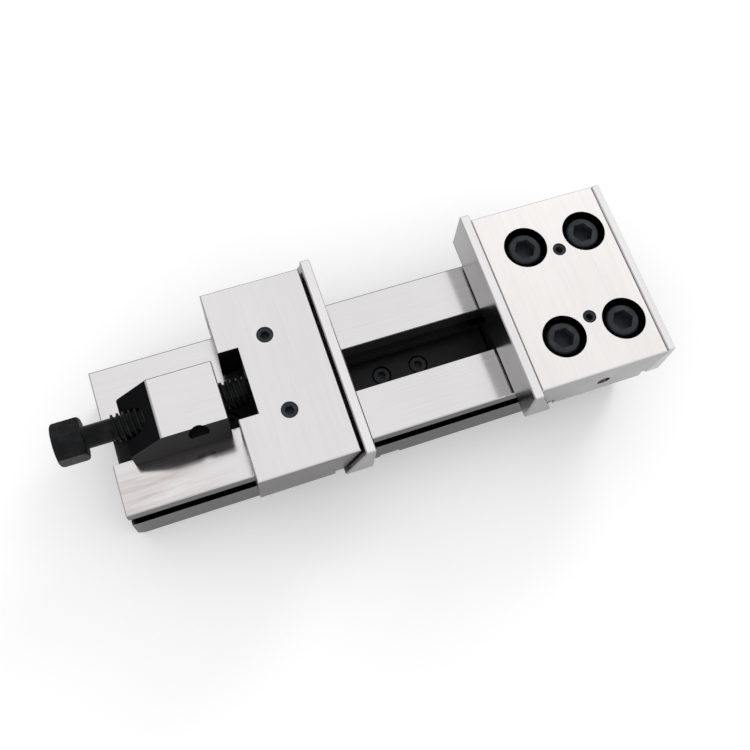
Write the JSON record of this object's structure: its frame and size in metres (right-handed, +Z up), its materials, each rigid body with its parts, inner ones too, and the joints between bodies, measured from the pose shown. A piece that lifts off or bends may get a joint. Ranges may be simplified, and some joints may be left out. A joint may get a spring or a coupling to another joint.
{
  "type": "modular machine vise",
  "caption": "Low, long machine vise: ground bed with a central slot, bolted fixed jaw, sliding jaw and a screw in a movable spindle block.",
  "frame": {"origin": "on the underside, below the middle of the vise's overall length and width", "axes": "+X from the spindle towards the fixed jaw, +Y across the bed, +Z up"},
  "size_m": [0.4308, 0.15, 0.101],
  "materials": {
    "ground_steel": "ground, satin",
    "black_steel": "black oxide, oiled",
    "bronze": "turned bronze"
  },
  "bodies": {
    "base": {"base": "ground_steel", "index_rail": "black_steel", "index_rail_screws": "black_steel", "fixed_jaw_body": "ground_steel", "fixed_jaw_plate": "ground_steel", "rear_jaw_plate": "ground_steel", "rear_jaw_plate_screws": "black_steel", "fixed_jaw_plate_screws": "black_steel", "fixed_jaw_screw_1": "black_steel", "fixed_jaw_screw_2": "black_steel", "fixed_jaw_screw_3": "black_steel", "fixed_jaw_screw_4": "black_steel", "stop_rod_set_screw_1": "black_steel", "stop_rod_set_screw_2": "black_steel", "fixed_jaw_dowels": "black_steel"},
    "spindle_block": {"spindle_block": "ground_steel", "spindle_block_foot": "black_steel", "spindle_block_foot_screws": "black_steel", "spindle_nut": "bronze"},
    "movable_jaw": {"movable_jaw_body": "ground_steel", "movable_jaw_plate": "ground_steel", "movable_jaw_plate_screws": "black_steel", "movable_jaw_set_screw_1": "black_steel", "movable_jaw_set_screw_2": "black_steel", "guide_key": "black_steel", "jaw_foot": "black_steel", "guide_key_screws": "black_steel", "thrust_plate": "black_steel", "thrust_plate_screws": "black_steel", "thrust_washer": "bronze"},
    "spindle": {"spindle": "black_steel", "spindle_collar": "black_steel", "spindle_collar_pin": "black_steel"}
  },
  "joints": [
    {"name": "block_position", "type": "slide", "parent": "base", "child": "spindle_block", "axis": [1, 0, 0], "range_m": [0, 0.09]},
    {"name": "jaw_travel", "type": "slide", "parent": "spindle_block", "child": "movable_jaw", "axis": [1, 0, 0], "range_m": [-0.019, 0.024]},
    {"name": "spindle_turn", "type": "hinge", "parent": "movable_jaw", "child": "spindle", "pos_m": [-0.1854, 0, 0.082], "axis": [1, 0, 0], "range_deg": [-1711, 2161]}
  ],
  "couplings": [
    {"joint": "spindle_turn", "follows": "jaw_travel", "rad_per_m": 1570.8}
  ]
}
